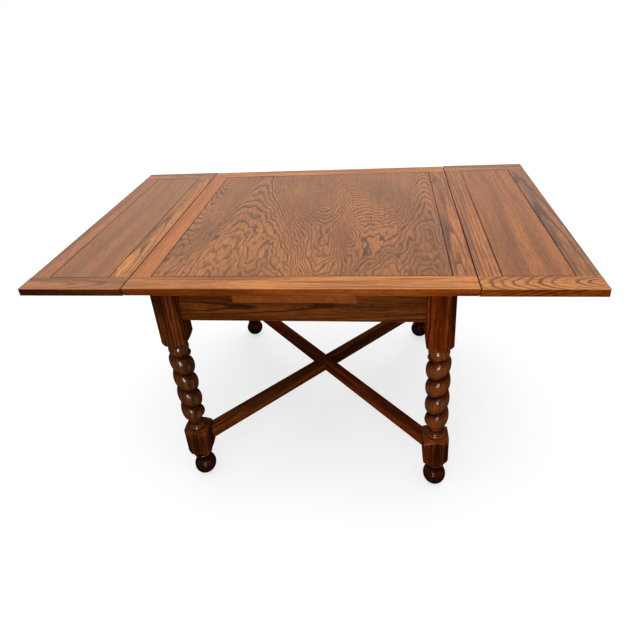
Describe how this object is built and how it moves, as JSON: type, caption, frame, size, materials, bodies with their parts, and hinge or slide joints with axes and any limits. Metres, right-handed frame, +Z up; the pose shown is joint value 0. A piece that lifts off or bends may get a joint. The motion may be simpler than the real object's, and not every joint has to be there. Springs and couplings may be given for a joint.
{
  "type": "extending draw-leaf table",
  "caption": "Oak table on barley-twist legs with diagonal stretchers; leaves on sloped bearers draw out from below a loose framed top.",
  "frame": {"origin": "on the floor below the middle of the table", "axes": "+X along the drawn table towards the right leaf, +Y from front to back, +Z up"},
  "size_m": [1.503, 0.904, 0.76],
  "materials": {
    "figured_veneer": "satin",
    "plain_veneer": "satin",
    "frame_oak": "satin",
    "rail_oak": "satin",
    "dark_oak": "satin",
    "hidden_oak": "unpolished",
    "screw_steel": "dull"
  },
  "bodies": {
    "frame": {"back_rail": "rail_oak", "board_screw_back_left": "screw_steel", "board_screw_back_right": "screw_steel", "board_screw_front_left": "screw_steel", "board_screw_front_right": "screw_steel", "centre_board": "frame_oak", "centre_cross_rail": "hidden_oak", "front_rail": "rail_oak", "left_end_rail": "rail_oak", "leg_back_left": "dark_oak", "leg_back_right": "dark_oak", "leg_front_left": "dark_oak", "leg_front_right": "dark_oak", "right_end_rail": "rail_oak", "stretcher_lower": "dark_oak", "stretcher_upper": "dark_oak"},
    "top": {"guide_peg_back": "hidden_oak", "guide_peg_front": "hidden_oak", "top_back_rail": "frame_oak", "top_front_rail": "frame_oak", "top_left_clamp": "frame_oak", "top_panel": "figured_veneer", "top_right_clamp": "frame_oak"},
    "left_leaf": {"left_bearer_back": "hidden_oak", "left_bearer_front": "hidden_oak", "left_bearer_screw_back_inner": "screw_steel", "left_bearer_screw_back_outer": "screw_steel", "left_bearer_screw_front_inner": "screw_steel", "left_bearer_screw_front_outer": "screw_steel", "left_leaf_back_rail": "frame_oak", "left_leaf_front_rail": "frame_oak", "left_leaf_inner_stile": "frame_oak", "left_leaf_outer_stile": "frame_oak", "left_leaf_panel": "plain_veneer", "left_stop_back": "hidden_oak", "left_stop_front": "hidden_oak"},
    "right_leaf": {"right_bearer_back": "hidden_oak", "right_bearer_front": "hidden_oak", "right_bearer_screw_back_inner": "screw_steel", "right_bearer_screw_back_outer": "screw_steel", "right_bearer_screw_front_inner": "screw_steel", "right_bearer_screw_front_outer": "screw_steel", "right_leaf_back_rail": "frame_oak", "right_leaf_front_rail": "frame_oak", "right_leaf_inner_stile": "frame_oak", "right_leaf_outer_stile": "frame_oak", "right_leaf_panel": "plain_veneer", "right_stop_back": "hidden_oak", "right_stop_front": "hidden_oak"}
  },
  "joints": [
    {"name": "top_lift", "type": "slide", "parent": "frame", "child": "top", "axis": [0, 0, 1], "range_m": [0, 0.7]},
    {"name": "right_leaf_draw", "type": "slide", "parent": "frame", "child": "right_leaf", "axis": [0.9973, 0, 0.0738], "range_m": [-0.2949, 0]},
    {"name": "left_leaf_draw", "type": "slide", "parent": "frame", "child": "left_leaf", "axis": [-0.9973, 0, 0.0738], "range_m": [-0.2949, 0]}
  ],
  "couplings": [
    {"joint": "right_leaf_draw", "follows": "top_lift", "ratio": -0.42115},
    {"joint": "left_leaf_draw", "follows": "top_lift", "ratio": -0.42115}
  ]
}
